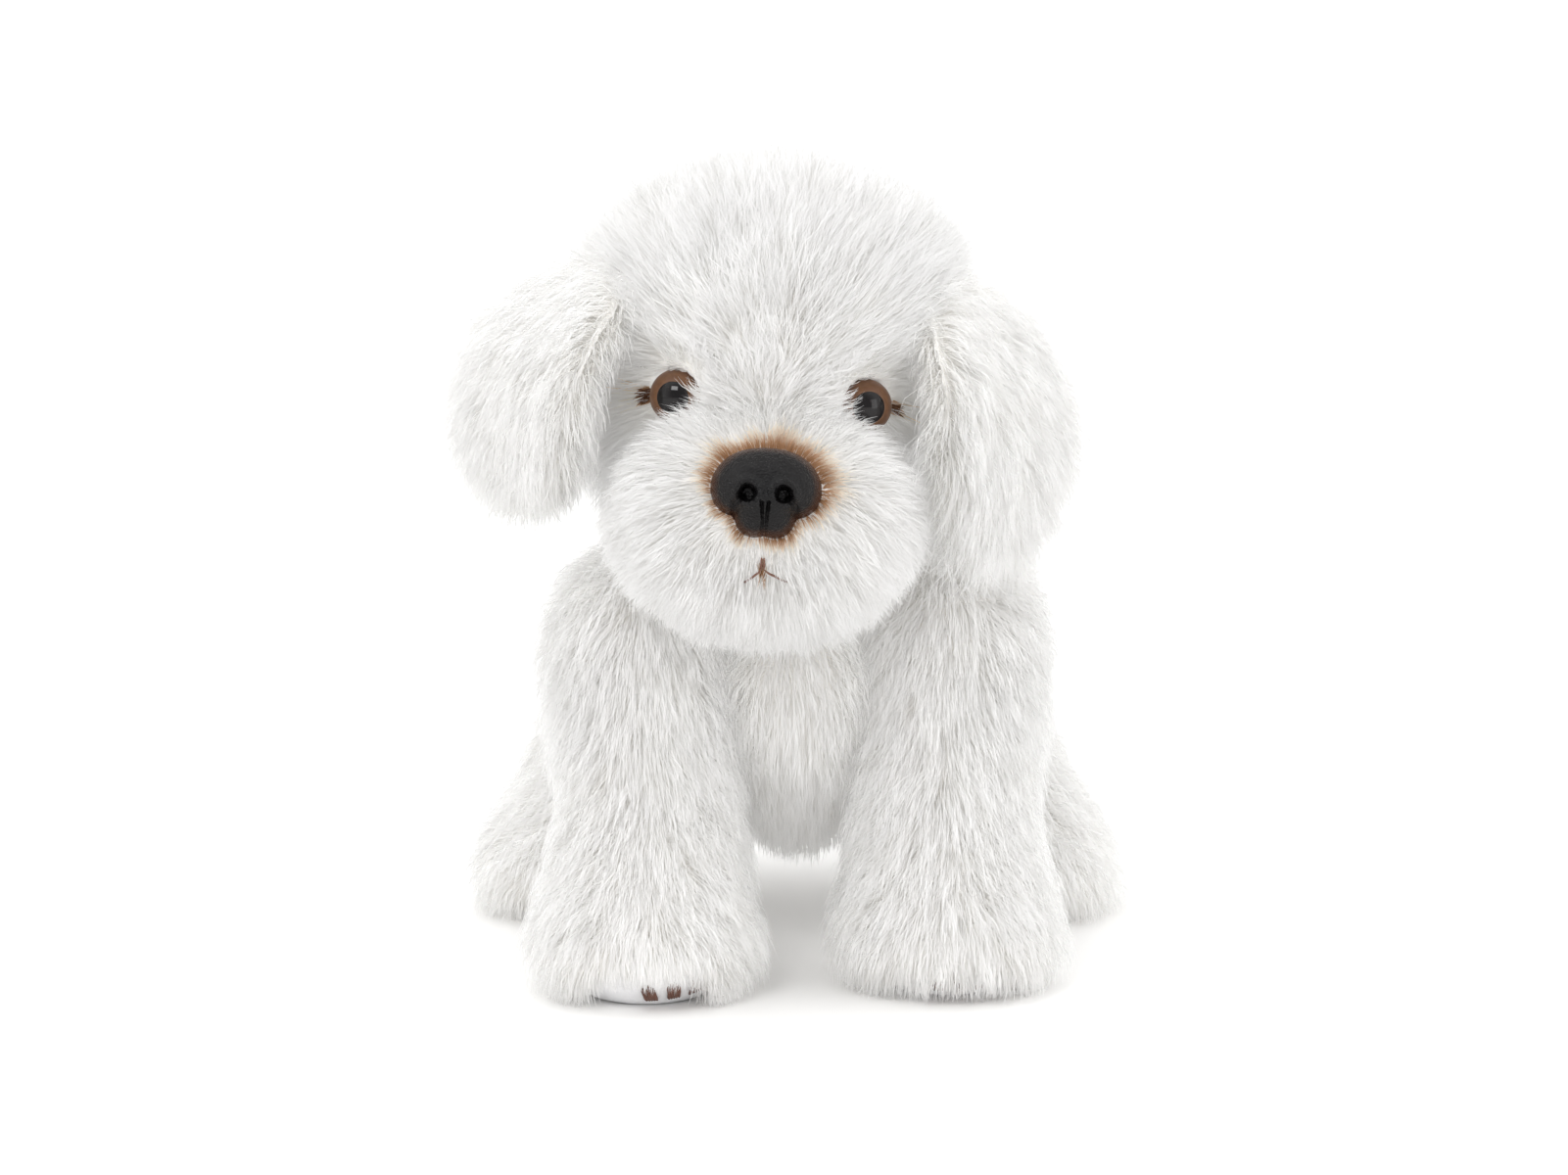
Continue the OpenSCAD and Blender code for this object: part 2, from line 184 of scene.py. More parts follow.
def multiply(tree, a, b):
    node = tree.nodes.new("ShaderNodeMix")
    node.data_type = "RGBA"
    node.blend_type = "MULTIPLY"
    node.inputs["Factor"].default_value = 1.0
    tree.links.new(a, node.inputs["A"])
    tree.links.new(b, node.inputs["B"])
    return node.outputs["Result"]


STAIN_START = 0.6  # a strand's u from here up says how deeply it is dyed brown


def pile_material():
    """White pile. u is a strand's tone, or its brown dye from STAIN_START up. v runs from root to tip."""
    mat, tree, shader = new_material("white_pile")
    uv = tree.nodes.new("ShaderNodeUVMap")
    uv.uv_map = "OFBake"
    split = tree.nodes.new("ShaderNodeSeparateXYZ")
    tree.links.new(uv.outputs["UV"], split.inputs["Vector"])
    tone = add_ramp(
        tree,
        split.outputs["X"],
        [
            (0.0, (0.97, 0.967, 0.96)),
            (0.3, (0.99, 0.99, 0.988)),
            (0.58, (1.0, 1.0, 1.0)),
            (0.64, (0.94, 0.87, 0.77)),
            (0.78, (0.52, 0.31, 0.18)),
            (1.0, (0.085, 0.033, 0.02)),
        ],
    )
    # Painted light: roots are brighter and warmer than tips, a painted fill and warm shade that offset the
    # shadow deep in the pile.
    depth = add_ramp(
        tree,
        split.outputs["Y"],
        [(0.0, (1.0, 0.985, 0.95)), (0.5, (0.99, 0.985, 0.975)), (1.0, (0.97, 0.97, 0.975))],
    )
    colour = multiply(tree, tone, depth)
    tree.links.new(colour, shader.inputs["Base Color"])
    shader.inputs["Roughness"].default_value = 0.85
    shader.inputs["Specular IOR Level"].default_value = 0.08
    # Painted light: the pile glows faintly with its own colour, a painted fill that lifts the shade between
    # strands.
    tree.links.new(colour, shader.inputs["Emission Color"])
    shader.inputs["Emission Strength"].default_value = 0.2
    glow = tree.nodes.new("ShaderNodeBsdfTranslucent")
    tree.links.new(colour, glow.inputs["Color"])
    mix = tree.nodes.new("ShaderNodeMixShader")
    mix.inputs["Fac"].default_value = 0.6
    tree.links.new(shader.outputs["BSDF"], mix.inputs[1])
    tree.links.new(glow.outputs["BSDF"], mix.inputs[2])
    tree.links.new(mix.outputs["Shader"], tree.nodes["Material Output"].inputs["Surface"])
    return mat


def backing_material():
    """The pile fabric's knitted backing, seen deep between the strands."""
    mat, tree, shader = new_material("pile_backing")
    # Off-white, partly the backing's own colour and partly painted shade: a little darker than the pile, so
    # the gaps between strands read as shadow.
    mottle = [(0.3, (0.96, 0.945, 0.92)), (0.7, (0.985, 0.975, 0.955))]
    tint = add_ramp(tree, add_noise(tree, 900), mottle)
    tree.links.new(tint, shader.inputs["Base Color"])
    shader.inputs["Roughness"].default_value = 0.95
    add_bump(tree, shader, add_noise(tree, 2500), 0.6, 0.0004)
    return mat


def velour_material():
    """Smooth short white pile of the soles."""
    mat, tree, shader = new_material("short_pile")
    tint = add_ramp(tree, add_noise(tree, 350), [(0.3, (0.90, 0.90, 0.915)), (0.7, (0.96, 0.96, 0.97))])
    tree.links.new(tint, shader.inputs["Base Color"])
    shader.inputs["Roughness"].default_value = 0.7
    shader.inputs["Sheen Weight"].default_value = 0.5
    shader.inputs["Sheen Roughness"].default_value = 0.4
    add_bump(tree, shader, add_noise(tree, 4500, 4), 0.35, 0.0003)
    return mat


def cloth_material(name, low, high, scale):
    """Plain fabric or fibre with a fine mottled surface."""
    mat, tree, shader = new_material(name)
    tint = add_ramp(tree, add_noise(tree, scale), [(0.3, low), (0.7, high)])
    tree.links.new(tint, shader.inputs["Base Color"])
    shader.inputs["Roughness"].default_value = 0.95
    add_bump(tree, shader, add_noise(tree, scale * 3), 0.5, 0.0005)
    return mat


def thread_material(name, low, high):
    """Spun thread: fine light and dark streaks with a soft shine."""
    mat, tree, shader = new_material(name)
    tint = add_ramp(tree, add_noise(tree, 5000, 2), [(0.35, low), (0.65, high)])
    tree.links.new(tint, shader.inputs["Base Color"])
    shader.inputs["Roughness"].default_value = 0.6
    add_bump(tree, shader, add_noise(tree, 8000, 2), 0.5, 0.0002)
    return mat


def eye_rim_material():
    """Satin brown plastic round the pupil, faintly mottled."""
    mat, tree, shader = new_material("eye_rim_plastic")
    mottle = [(0.3, (0.105, 0.046, 0.02)), (0.7, (0.15, 0.068, 0.03))]
    tint = add_ramp(tree, add_noise(tree, 700), mottle)
    tree.links.new(tint, shader.inputs["Base Color"])
    shader.inputs["Roughness"].default_value = 0.38
    shader.inputs["Specular IOR Level"].default_value = 0.4
    return mat


def pupil_material():
    """Polished black plastic, very faintly mottled."""
    mat, tree, shader = new_material("pupil_plastic")
    mottle = [(0.3, (0.004, 0.003, 0.003)), (0.7, (0.008, 0.006, 0.006))]
    tint = add_ramp(tree, add_noise(tree, 400), mottle)
    tree.links.new(tint, shader.inputs["Base Color"])
    shader.inputs["Roughness"].default_value = 0.04
    shader.inputs["Specular IOR Level"].default_value = 0.34
    return mat


def nose_material():
    """Black plastic with a fine leather grain. Its v turns it dark brown at the rim."""
    mat, tree, shader = new_material("nose_plastic")
    uv = tree.nodes.new("ShaderNodeUVMap")
    uv.uv_map = "OFBake"
    split = tree.nodes.new("ShaderNodeSeparateXYZ")
    tree.links.new(uv.outputs["UV"], split.inputs["Vector"])
    tint = add_ramp(
        tree,
        split.outputs["Y"],
        [(0.0, (0.004, 0.004, 0.0045)), (0.84, (0.006, 0.005, 0.005)), (0.99, (0.05, 0.02, 0.011))],
    )
    tree.links.new(tint, shader.inputs["Base Color"])
    shader.inputs["Roughness"].default_value = 0.27
    shader.inputs["Specular IOR Level"].default_value = 0.19
    where = tree.nodes.new("ShaderNodeTexCoord")
    grain = tree.nodes.new("ShaderNodeTexVoronoi")
    grain.inputs["Scale"].default_value = 1900
    tree.links.new(where.outputs["Object"], grain.inputs["Vector"])
    add_bump(tree, shader, grain.outputs["Distance"], 0.7, 0.0003)
    return mat


def washer_material():
    mat, tree, shader = new_material("washer_plastic")
    tint = add_ramp(tree, add_noise(tree, 300), [(0.3, (0.78, 0.78, 0.76)), (0.7, (0.84, 0.84, 0.82))])
    tree.links.new(tint, shader.inputs["Base Color"])
    shader.inputs["Roughness"].default_value = 0.5
    return mat


def floor_material():
    mat, _, shader = new_material("studio_floor")
    shader.inputs["Base Color"].default_value = (0.90, 0.895, 0.885, 1)
    shader.inputs["Roughness"].default_value = 0.9
    shader.inputs["Specular IOR Level"].default_value = 0.1
    return mat


PILE = pile_material()
BACKING = backing_material()
VELOUR = velour_material()
FIBRE = cloth_material("fibre_fill", (0.88, 0.88, 0.87), (0.95, 0.95, 0.94), 300)
PELLET_BAG = cloth_material("pellet_bag", (0.78, 0.75, 0.66), (0.88, 0.86, 0.78), 600)
WHITE_THREAD = thread_material("white_thread", (0.75, 0.74, 0.72), (0.9, 0.9, 0.88))
BROWN_THREAD = thread_material("brown_thread", (0.10, 0.04, 0.025), (0.20, 0.09, 0.06))
EYE_RIM = eye_rim_material()
PUPIL = pupil_material()
NOSE = nose_material()
WASHER = washer_material()


def paint(obj, mat):
    obj.data.materials.clear()
    obj.data.materials.append(mat)


def paint_inner_nodes():
    """The pieces inside keep their CAD shape and get their own materials."""
    for name, obj in NODES.items():
        if "washer" in name:
            paint(obj, WASHER)
        elif "pouch" in name:
            paint(obj, PELLET_BAG)
        elif "stuffing" in name:
            paint(obj, FIBRE)


# ---------- skins ----------


def skin_over(name, nodes, voxel, rounds):
    """A smooth closed skin over CAD nodes. voxel is its mesh size. rounds is how often it is smoothed."""
    verts, faces = [], []
    for node in nodes:
        mesh = NODES[node].data
        start = len(verts)
        verts.extend(tuple(v.co) for v in mesh.vertices)
        faces.extend([start + v for v in p.vertices] for p in mesh.polygons)
    obj = mesh_object(name, verts, faces)
    remesh = obj.modifiers.new("remesh", "REMESH")
    remesh.mode = "VOXEL"
    remesh.voxel_size = voxel
    smooth = obj.modifiers.new("smooth", "SMOOTH")
    smooth.iterations = rounds
    applied(obj)
    largest_island(obj)
    paint(obj, BACKING)
    return obj


SKINS = {}


def make_skins():
    SKINS["torso"] = skin_over(
        "skin_torso", ["torso_skin", "torso_stuffing", "belly_pellet_pouch"], 2 * MM, 4
    )
    SKINS["neck"] = skin_over("skin_neck", ["neck_stuffing"], 2 * MM, 2)
    SKINS["head"] = skin_over("skin_head", ["head_skin", "head_stuffing"], 1.6 * MM, 4)
    SKINS["muzzle"] = skin_over("skin_muzzle", ["muzzle_skin", "muzzle_stuffing"], 1.5 * MM, 4)
    SKINS["tail"] = skin_over("skin_tail", ["tail_skin", "tail_stuffing"], 1.5 * MM, 3)
    for side in SIDES:
        SKINS["ear_" + side] = skin_over("skin_ear_" + side, ["ear_outer_" + side], 0.8 * MM, 3)
        SKINS["lining_" + side] = skin_over("lining_ear_" + side, ["ear_lining_" + side], 0.8 * MM, 3)
        for leg in ("front", "hind"):
            kinds = ("leg_skin", "leg_stuffing", "sole", "pellet_pouch")
            nodes = [f"{leg}_{kind}_{side}" for kind in kinds]
            SKINS[f"{leg}_leg_{side}"] = skin_over(f"skin_{leg}_leg_{side}", nodes, 2 * MM, 3)


BODY_OF = {"torso": "torso", "neck": "neck", "head": "head", "muzzle": "head", "tail": "tail"}
for one_side in SIDES:
    BODY_OF["ear_" + one_side] = "ear_" + one_side
    BODY_OF["lining_" + one_side] = "ear_" + one_side
    BODY_OF["front_leg_" + one_side] = "front_leg_" + one_side
    BODY_OF["hind_leg_" + one_side] = "hind_leg_" + one_side


def bind_skins():
    """Ties each skin to its body, and hides the CAD nodes it stands for."""
    stands_for = {
        "torso": ["torso_skin"],
        "neck": ["neck_stuffing"],
        "head": ["head_skin"],
        "muzzle": ["muzzle_skin"],
        "tail": ["tail_skin"],
    }
    for side in SIDES:
        stands_for["ear_" + side] = ["ear_outer_" + side]
        stands_for["lining_" + side] = ["ear_lining_" + side]
        stands_for["front_leg_" + side] = ["front_leg_skin_" + side]
        stands_for["hind_leg_" + side] = ["hind_leg_skin_" + side]
    for part, skin in SKINS.items():
        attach(skin, BODY_OF[part])
        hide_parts(*stands_for[part])


# ---------- soles ----------


def sole_line(leg, side, points):
    """Height of the line where a leg's pile meets its sole, at each point's place along the paw."""
    low, high = (np.array(c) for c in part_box(f"{leg}_sole_{side}"))
    skin_low = np.array(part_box(f"{leg}_leg_skin_{side}")[0])
    share = (high[1] - points[:, 1]) / (high[1] - low[1])
    return skin_low[2] + share * (high[2] - skin_low[2])


SOLE_OVERLAP = 1.5 * MM
SOLE_PROUD = 0.25 * MM
SOLE_LOWEST = 0.05 * MM
SOLE_THICKNESS = 0.8 * MM


def make_sole(leg, side):
    """A smooth sole: the paw's own surface below the sole line, a little proud of it."""
    skin = SKINS[f"{leg}_leg_{side}"]
    obj = link(bpy.data.objects.new(f"sole_{leg}_{side}", skin.data.copy()))
    centres = np.array([p.center for p in obj.data.polygons])
    keep_faces(obj, centres[:, 2] < sole_line(leg, side, centres) + SOLE_OVERLAP)
    normals = np.array([v.normal for v in obj.data.vertices])
    co = coords(obj.data) + normals * SOLE_PROUD
    co[:, 2] = np.maximum(co[:, 2], SOLE_LOWEST)
    obj.data.vertices.foreach_set("co", co.ravel())
    solid = obj.modifiers.new("thickness", "SOLIDIFY")
    solid.thickness = SOLE_THICKNESS
    solid.offset = -1
    smooth = obj.modifiers.new("smooth", "SUBSURF")
    smooth.levels = 1
    smooth.render_levels = 1
    applied(obj)
    obj.data.shade_smooth()
    paint(obj, VELOUR)
    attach(obj, f"{leg}_leg_{side}")
    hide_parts(f"{leg}_sole_{side}")


# ---------- eyes ----------


def local_frame(origin, axis, across):
    """Columns are across, up and axis. Returns the 3x3 matrix and the origin."""
    axis = unit(np.array(axis, float))
    up = unit(np.cross(axis, across))
    side = np.cross(up, axis)
    return np.column_stack([side, up, axis]), np.array(origin, float)


def lathe(name, profile, place, steps=72):
    """Turns a profile of (radius, height) about a local frame's axis."""
    rotation, origin = place
    verts, faces = [], []
    for r, h in profile:
        for k in range(steps):
            a = 2 * math.pi * k / steps
            verts.append(origin + rotation @ np.array([r * math.cos(a), r * math.sin(a), h]))
    for j in range(len(profile) - 1):
        for k in range(steps):
            m = (k + 1) % steps
            faces.append((j * steps + k, j * steps + m, (j + 1) * steps + m, (j + 1) * steps + k))
    faces.append(tuple(range((len(profile) - 1) * steps, len(profile) * steps)))
    faces.append(tuple(reversed(range(steps))))
    return mesh_object(name, verts, faces)


HEAD_ACROSS = (1, 0, -0.05)  # the head leans, so its left-to-right line drops a little
EYE_R = 6.0 * MM
PUPIL_R = 3.55 * MM
EYE_H = 4.8 * MM


def eye_place(side):
    """An eye's local frame: its origin is the middle of the dome's back."""
    washer = middle("eye_washer_" + side)
    dome = front_of("eye_" + side, 3.5 * MM)
    axis = unit(dome - washer)
    co = coords(NODES["eye_" + side].data)
    tip = (co @ axis).max()
    back = dome + axis * (tip - dome @ axis - EYE_H)
    return local_frame(back, axis, HEAD_ACROSS)


def dome_height(r):
    return EYE_H * math.sqrt(max(0.0, 1 - (r / EYE_R) ** 2))


def make_eye(side):
    """A satin brown rim and a polished black pupil, which stands a hair above it."""
    place = eye_place(side)
    rim = [(EYE_R - 0.3 * MM, -1.2 * MM), (EYE_R, -0.4 * MM)]
    slopes = np.linspace(math.pi / 2, math.asin(PUPIL_R / EYE_R), 14)
    rim += [(r, dome_height(r)) for r in EYE_R * np.sin(slopes)]
    rim.append((PUPIL_R - 0.15 * MM, dome_height(PUPIL_R) - 0.25 * MM))
    ring = lathe("eye_rim_" + side, rim, place)
    bulge = 0.12 * MM
    pupil = [(PUPIL_R - 0.02 * MM, dome_height(PUPIL_R) - 0.4 * MM)]
    for r in PUPIL_R * np.cos(np.linspace(0, math.pi / 2 - 0.06, 16)):
        swell = bulge * math.sqrt(max(0, 1 - (r / PUPIL_R) ** 2))
        pupil.append((r - 0.02 * MM, dome_height(r) + swell))
    ball = lathe("pupil_" + side, pupil, place)
    paint(ring, EYE_RIM)
    paint(ball, PUPIL)
    for obj in (ring, ball):
        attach(obj, "head")
    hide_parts("eye_" + side)
    return place


# ---------- nose ----------

NOSE_TILT = math.radians(14)
NOSE_FROM_WASHER = 7.3 * MM
NOSE_RIM = [
    # angle in degrees from the puppy's left, and radius in mm
    (-90, 9.2), (-77, 9.9), (-64, 10.1), (-52, 9.6), (-43, 8.9), (-36, 8.8), (-27, 10.1), (-14, 11.4),
    (0, 12.0), (14, 12.1), (28, 11.8), (42, 11.3), (58, 10.6), (74, 10.0), (90, 9.8),
]
NOSTRIL = (3.85, -0.7)
NOSTRIL_R = 2.0


def nose_radius(angle):
    """The nose's outline, the same on both sides."""
    folded = np.where(np.cos(angle) < 0, math.pi - angle, angle)
    folded = np.degrees(np.arctan2(np.sin(folded), np.cos(folded)))
    return np.interp(folded, [a for a, r in NOSE_RIM], [r for a, r in NOSE_RIM])


def path_distance(x, y, path):
    """Distance from points to a path of straight runs."""
    best = np.full(x.shape, 1e9)
    for (ax, ay), (bx, by) in zip(path, path[1:]):
        square = (bx - ax) ** 2 + (by - ay) ** 2
        t = np.clip(((x - ax) * (bx - ax) + (y - ay) * (by - ay)) / square, 0, 1)
        best = np.minimum(best, np.hypot(x - ax - t * (bx - ax), y - ay - t * (by - ay)))
    return best


def nose_height(x, y, share):
    """Height in mm of the nose's face. share is 0 in the middle and 1 at the rim."""
    h = 7.5 * np.sqrt(np.clip(1 - share**2.6, 0, 1))
    h -= 0.9 * np.exp(-(((y + 6.2) / 3.2) ** 2))
    hole = np.hypot(np.abs(x) - NOSTRIL[0], y - NOSTRIL[1])
    h += 0.55 * np.exp(-(((hole - NOSTRIL_R - 0.7) / 0.8) ** 2))
    h -= 3.4 * (1 - ramp(hole, NOSTRIL_R * 0.55, NOSTRIL_R * 1.05))
    groove = path_distance(np.abs(x), y, [(5.3, -1.6), (6.4, -2.9), (6.6, -4.4), (7.4, -5.6)])
    h -= 1.5 * np.exp(-((groove / 0.75) ** 2))
    slit = path_distance(np.abs(x), y, [(0.75, -2.6), (0.42, -6.0), (0.42, -10.0)])
    h -= 1.25 * np.exp(-((slit / 0.3) ** 2))
    return np.maximum(h, 0.0)


def make_nose():
    """A domed face with nostrils, side grooves and a centre slit, made as rings of points."""
    washer = middle("nose_washer")
    shank = unit(np.array([0, -math.cos(NOSE_TILT), math.sin(NOSE_TILT)]))
    back = washer + shank * NOSE_FROM_WASHER
    rotation, origin = local_frame(back, shank, HEAD_ACROSS)
    steps = 168
    rings = 56
    angles = np.linspace(0, 2 * math.pi, steps, endpoint=False)
    verts, shares = [], []
    edge = nose_radius(angles)
    for share, sink in ((0.93, -1.6), (1.0, -0.8)):
        for a, r in zip(angles, edge):
            verts.append((r * share * math.cos(a), r * share * math.sin(a), sink))
            shares.append(1.0)
    for share in np.linspace(1, 0, rings, endpoint=False):
        x, y = edge * share * np.cos(angles), edge * share * np.sin(angles)
        h = nose_height(x, y, np.full(steps, share))
        verts.extend(zip(x, y, h))
        shares.extend([share] * steps)
    verts.append((0, 0, float(nose_height(np.zeros(1), np.zeros(1), np.zeros(1))[0])))
    shares.append(0.0)
    faces = []
    count = rings + 2
    for j in range(count - 1):
        for k in range(steps):
            m = (k + 1) % steps
            faces.append((j * steps + k, j * steps + m, (j + 1) * steps + m, (j + 1) * steps + k))
    for k in range(steps):
        faces.append(((count - 1) * steps + k, (count - 1) * steps + (k + 1) % steps, count * steps))
    faces.append(tuple(reversed(range(steps))))
    places = [origin + rotation @ (np.array(v) * MM) for v in verts]
    obj = mesh_object("nose_moulded", places, faces)
    layer = obj.data.uv_layers.new(name="OFBake")
    loops = np.empty(len(obj.data.loops), np.int32)
    obj.data.loops.foreach_get("vertex_index", loops)
    uv = np.column_stack([np.full(len(loops), 0.5), np.array(shares)[loops]])
    layer.data.foreach_set("uv", uv.ravel())
    paint(obj, NOSE)
    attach(obj, "head")
    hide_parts("nose")
    return rotation, origin


# ---------- sewn details ----------


def tube(name, paths, radius, mat, body, node):
    """Round threads along paths, as one piece in place of a CAD node."""
    verts, faces = [], []
    steps = 8
    for path in paths:
        path = [np.array(p, float) for p in path]
        start = len(verts)
        for i, p in enumerate(path):
            run = unit(path[min(i + 1, len(path) - 1)] - path[max(i - 1, 0)])
            side = unit(np.cross(run, [0.3, 0.2, 0.93]))
            up = np.cross(side, run)
            thin = 0.55 if i in (0, len(path) - 1) else 1.0
            for k in range(steps):
                a = 2 * math.pi * k / steps
                verts.append(p + (side * math.cos(a) + up * math.sin(a)) * radius * thin)
        for i in range(len(path) - 1):
            for k in range(steps):
                m = (k + 1) % steps
                a, b = start + i * steps, start + (i + 1) * steps
                faces.append((a + k, a + m, b + m, b + k))
        faces.append(tuple(reversed(range(start, start + steps))))
        last = start + (len(path) - 1) * steps
        faces.append(tuple(range(last, last + steps)))
    obj = mesh_object(name, verts, faces)
    paint(obj, mat)
    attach(obj, body)
    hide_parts(node)
    return obj


def surface_point(tree, p, outward, rise):
    """The point on a skin under p, seen along outward, lifted by rise."""
    hit, normal, _, _ = tree.ray_cast(Vector(p + outward * 30 * MM), Vector(-outward))
    if hit is None:
        hit, normal, _, _ = tree.find_nearest(Vector(p))
    return np.array(hit) + np.array(normal) * rise


CLAW_SPACING = 5.0  # mm
CLAW_HALF_WIDTH = 1.1  # mm
CLAW_LENGTH = 6.4  # mm
CLAW_THREAD_R = 0.42 * MM
MOUTH_THREAD_R = 0.24 * MM
SEAM_THREAD_R = 0.4 * MM


def make_claws(side):
    """Three claws on the turned-up toe, each of five threads side by side."""
    body = "front_leg_" + side
    tree = TREES[body]
    lo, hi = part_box("claw_stitches_" + side)
    mid = (lo + hi) / 2
    paths = []
    for k in (-1, 0, 1):
        for strand in np.linspace(-1, 1, 5):
            x = mid.x + (k * CLAW_SPACING + strand * CLAW_HALF_WIDTH) * MM
            reach = 1.0 - 0.2 * strand**2
            path = []
            for s in np.linspace(0, 1, 6):
                z = (1.2 + CLAW_LENGTH * s * reach) * MM
                outward = unit(np.array([0.12 * k, -1.0, -0.35]))
                puff = 0.35 * math.sin(math.pi * s) + 0.3
                place = np.array([x + k * 0.5 * s * MM, mid.y, z])
                path.append(surface_point(tree, place, outward, puff * MM))
            paths.append(path)
    obj = tube("claws_" + side, paths, CLAW_THREAD_R, BROWN_THREAD, body, "claw_stitches_" + side)


def make_mouth(nose_place):
    """The sewn mouth: a short double stitch under the nose and two long ones that part below it."""
    rotation, origin = nose_place
    tree = TREES["muzzle"]
    outward = unit(rotation @ np.array([0, -0.35, 1.0]))

    def at(x, y, rise):
        return surface_point(tree, origin + rotation @ np.array([x * MM, y * MM, 0]), outward, rise * MM)

    paths = []
    for offset in (-0.3, 0.3):
        paths.append([at(offset, -13.2 - 1.0 * k, 3.8) for k in np.linspace(0, 2.6, 5)])
    for way, spread in ((-1, 1.2), (1, 2.2)):
        run = np.linspace(0, 3, 7)
        paths.append([at(way * (0.3 + spread * k), -15.8 - 1.2 * k, 3.8 - 0.3 * k) for k in run])
    obj = tube("mouth_thread", paths, MOUTH_THREAD_R, BROWN_THREAD, "head", "mouth_stitches")


def make_belly_seam():
    """White ladder stitches over the closed belly seam."""
    tree = TREES["torso"]
    lo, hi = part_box("belly_closing_stitches")
    count = 6
    paths = []
    for y in np.linspace(lo.y, hi.y, count):
        row = []
        for x in np.linspace(lo.x, hi.x, 6):
            row.append(surface_point(tree, np.array([x, y + (x - lo.x) * 0.3, lo.z]), DOWN, 0.3 * MM))
        paths.append(row)
    node = "belly_closing_stitches"
    obj = tube("belly_seam_thread", paths, SEAM_THREAD_R, WHITE_THREAD, "torso", node)


# ---------- pile ----------

TREES = {}
MAX_STRANDS = 39000  # in one piece, so that it stays under 200,000 triangles
STRAND_WIDTH = 0.27  # mm
TUFT_SIZE = 5.5 * MM
WISP_SIZE = 2.2 * MM
TUFT_PULL = 0.07  # how far strand tips lean to the middle of their tuft
WISP_PULL = 0.12
ROOT_ROOM = 14 * MM  # a root facing its own skin nearer than this grows nothing
NEAR_OTHER = 4 * MM
TOO_CLOSE = 0.9 * MM


def make_trees():
    for part, skin in SKINS.items():
        mesh = skin.data
        faces = [tuple(p.vertices) for p in mesh.polygons]
        TREES[part] = BVHTree.FromPolygons([v.co for v in mesh.vertices], faces)


def roots_on(skin, density, rng):
    """Points spread over a skin, with density in strands per square mm. Returns points and normals."""
    mesh = skin.data
    mesh.calc_loop_triangles()
    tri = np.empty(len(mesh.loop_triangles) * 3, np.int32)
    mesh.loop_triangles.foreach_get("vertices", tri)
    tri = tri.reshape(-1, 3)
    co = coords(mesh)
    normals = np.empty(len(mesh.vertices) * 3)
    mesh.vertices.foreach_get("normal", normals)
    normals = normals.reshape(-1, 3)
    a, b, c = co[tri[:, 0]], co[tri[:, 1]], co[tri[:, 2]]
    area = 0.5 * np.linalg.norm(np.cross(b - a, c - a), axis=1)
    total = area.sum()
    count = int(total * 1e6 * density)
    place = (np.arange(count) + rng.random(count)) / count * total
    pick = np.minimum(np.searchsorted(np.cumsum(area), place), len(tri) - 1)
    r, s = np.sqrt(rng.random(count)), rng.random(count)
    w = np.column_stack([1 - r, r * (1 - s), r * s])
    points = sum(w[:, [k]] * co[tri[pick, k]] for k in range(3))
    bent = sum(w[:, [k]] * normals[tri[pick, k]] for k in range(3))
    return points, unit(bent)


def open_roots(part, points, normals):
    """Flags the roots that have room.
    They don't face their own skin in a hollow, and aren't against another part."""
    own = TREES[part]
    others = [t for other, t in TREES.items() if other != part]
    keep = np.ones(len(points), bool)
    for i, (p, n) in enumerate(zip(points, normals)):
        start = Vector(p + n * 0.6 * MM)
        if own.ray_cast(start, Vector(n), ROOT_ROOM)[0] is not None:
            keep[i] = False
            continue
        for tree in others:
            hit, normal, _, distance = tree.find_nearest(Vector(p), NEAR_OTHER)
            if hit is None:
                continue
            inside = (Vector(p) - hit).dot(normal) < 0
            if inside or distance < TOO_CLOSE:
                keep[i] = False
                break
    return keep


def free_length(part, points, ways, lengths):
    """Strands stop short of the other parts that they would run into."""
    others = [t for other, t in TREES.items() if other != part and BODY_OF[other] != BODY_OF[part]]
    shorter = lengths.copy()
    for i, (p, d, l) in enumerate(zip(points, ways, lengths)):
        start, way = Vector(p), Vector(d)
        for tree in others:
            hit = tree.ray_cast(start, way, l)
            if hit[0] is not None:
                shorter[i] = min(shorter[i], max(hit[3] * 0.92, 0.15 * l))
    return shorter


def clumps(points, size, rng):
    """Groups points into clumps about size across.
    Returns each point's clump number and the middles of the clumps."""
    warp = np.sin(points[:, [1, 2, 0]] / (size * 2.3) + rng.random(3) * 6) * size * 0.6
    cell = np.floor((points + warp) / size).astype(np.int64)
    _, number = np.unique(cell, axis=0, return_inverse=True)
    number = number.ravel()
    count = np.bincount(number)
    centre = np.column_stack([np.bincount(number, points[:, k]) / count for k in range(3)])
    return number, centre


